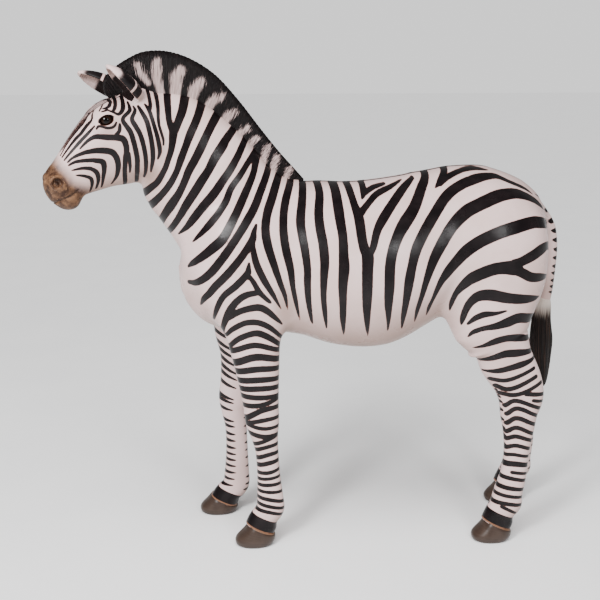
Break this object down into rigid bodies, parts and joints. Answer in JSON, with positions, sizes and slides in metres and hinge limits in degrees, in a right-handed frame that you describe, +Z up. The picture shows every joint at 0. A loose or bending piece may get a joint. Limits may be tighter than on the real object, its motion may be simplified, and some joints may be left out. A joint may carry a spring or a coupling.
{
  "type": "zebra statue",
  "caption": "Life-size standing zebra statue in glossy painted resin, head turned slightly to its left, with an upright ridged mane, a hanging tail and flat-soled hooves.",
  "frame": {"origin": "on the floor under the middle of the statue's box", "axes": "+Z up, -X towards the muzzle, +X towards the tail, -Y to the animal's left"},
  "size_m": [1.8082, 0.5326, 1.75],
  "materials": {
    "coat": "glossy painted resin, warm off-white with near-black stripes edged in brown",
    "mane": "satin painted resin, near black brushed over white bands, moulded hair grooves",
    "hoof": "satin grey-brown paint with an orange-brown line at the crown",
    "eye": "polished dark brown"
  },
  "bodies": {
    "root": {"head": "coat", "neck": "coat", "trunk": "coat", "leg_fore_left_upper": "coat", "leg_fore_left_lower": "coat", "hoof_fore_left": "hoof", "leg_fore_right_upper": "coat", "leg_fore_right_lower": "coat", "hoof_fore_right": "hoof", "leg_hind_left_upper": "coat", "leg_hind_left_lower": "coat", "hoof_hind_left": "hoof", "leg_hind_right_upper": "coat", "leg_hind_right_lower": "coat", "hoof_hind_right": "hoof", "ear_left": "coat", "ear_right": "coat", "eye_left": "eye", "eye_right": "eye", "mane": "mane", "tail_dock": "coat", "tail_tuft": "mane"}
  },
  "joints": []
}
